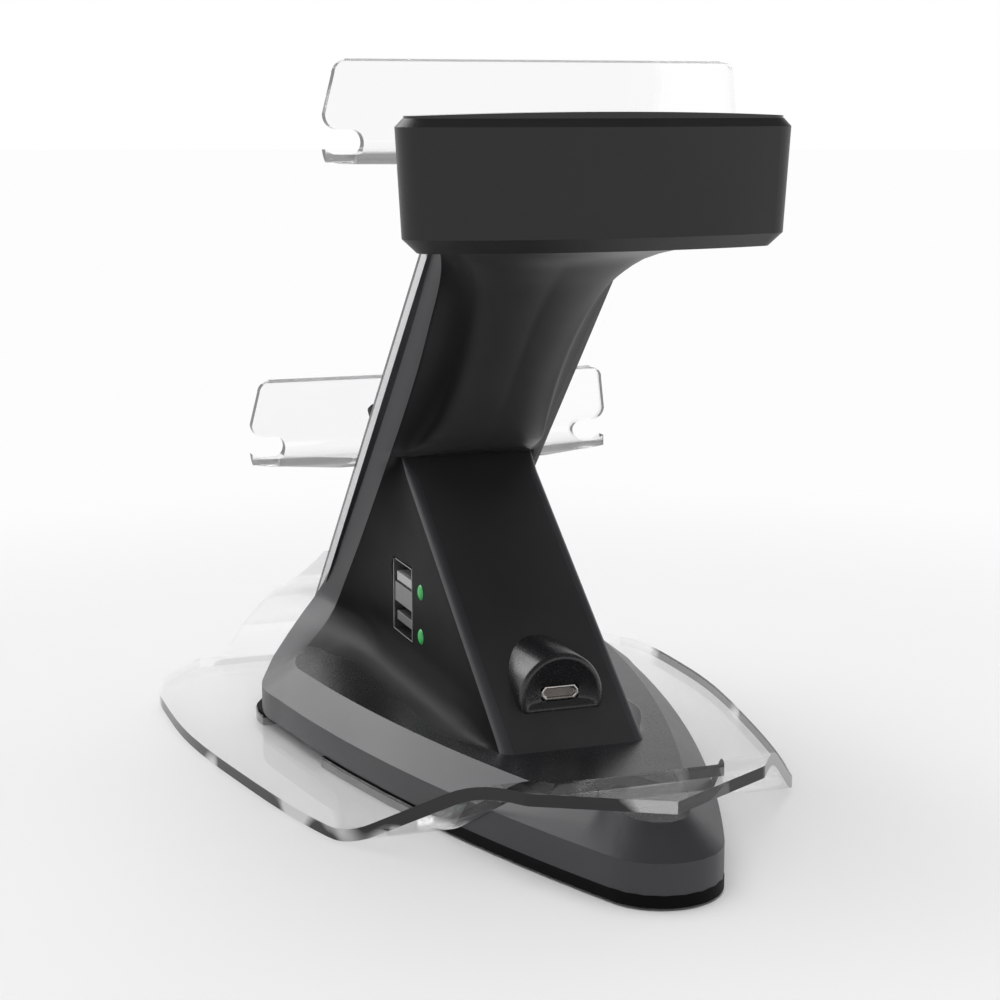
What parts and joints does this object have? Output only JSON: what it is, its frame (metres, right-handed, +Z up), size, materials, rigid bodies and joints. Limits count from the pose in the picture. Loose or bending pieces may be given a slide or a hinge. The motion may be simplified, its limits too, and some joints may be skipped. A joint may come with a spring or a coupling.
{
  "type": "controller charging dock",
  "caption": "Charging dock for game controllers: a leaning tower on a weighted base, clear cradles on its front, a clear floor tray and stacked sockets in its sides.",
  "frame": {"origin": "middle of the footprint, on the floor plane that the feet and the tray rest on", "axes": "+Z up; -Y is the front, where the controllers hang, and +Y the side with the charging inlet; +X is the left side seen from behind"},
  "size_m": [0.1196, 0.178, 0.1381],
  "materials": {
    "housing_black": "fine grain, satin",
    "plate_black": "matt",
    "panel_gloss": "gloss",
    "frame_silver": "satin",
    "rubber_black": "matt",
    "screw_steel": "plain",
    "weight_iron": "plain",
    "board_green": "plain",
    "connector_steel": "plain",
    "tongue_grey": "matt",
    "lamp_green": "gloss",
    "clear_sheet": "clear, polished"
  },
  "bodies": {
    "root": {"housing": "housing_black", "base_plate": "plate_black", "rubber_feet": "rubber_black", "base_screws": "screw_steel", "base_weight": "weight_iron", "main_board": "board_green", "head_shell": "housing_black", "head_lid": "panel_gloss", "head_screws": "screw_steel", "front_frame": "frame_silver", "front_panel": "panel_gloss", "charge_board_upper": "board_green", "charge_board_lower": "board_green", "upper_plug": "connector_steel", "lower_plug": "connector_steel", "grip_pads": "rubber_black", "inlet_shell": "connector_steel", "inlet_tongue": "tongue_grey", "socket_board": "board_green", "socket_shell_left": "connector_steel", "socket_shell_right": "connector_steel", "socket_tongues_left": "tongue_grey", "socket_tongues_right": "tongue_grey", "lamps_left": "lamp_green", "lamps_right": "lamp_green", "upper_cradle": "clear_sheet", "middle_cradle": "clear_sheet", "tray": "clear_sheet"}
  },
  "joints": []
}
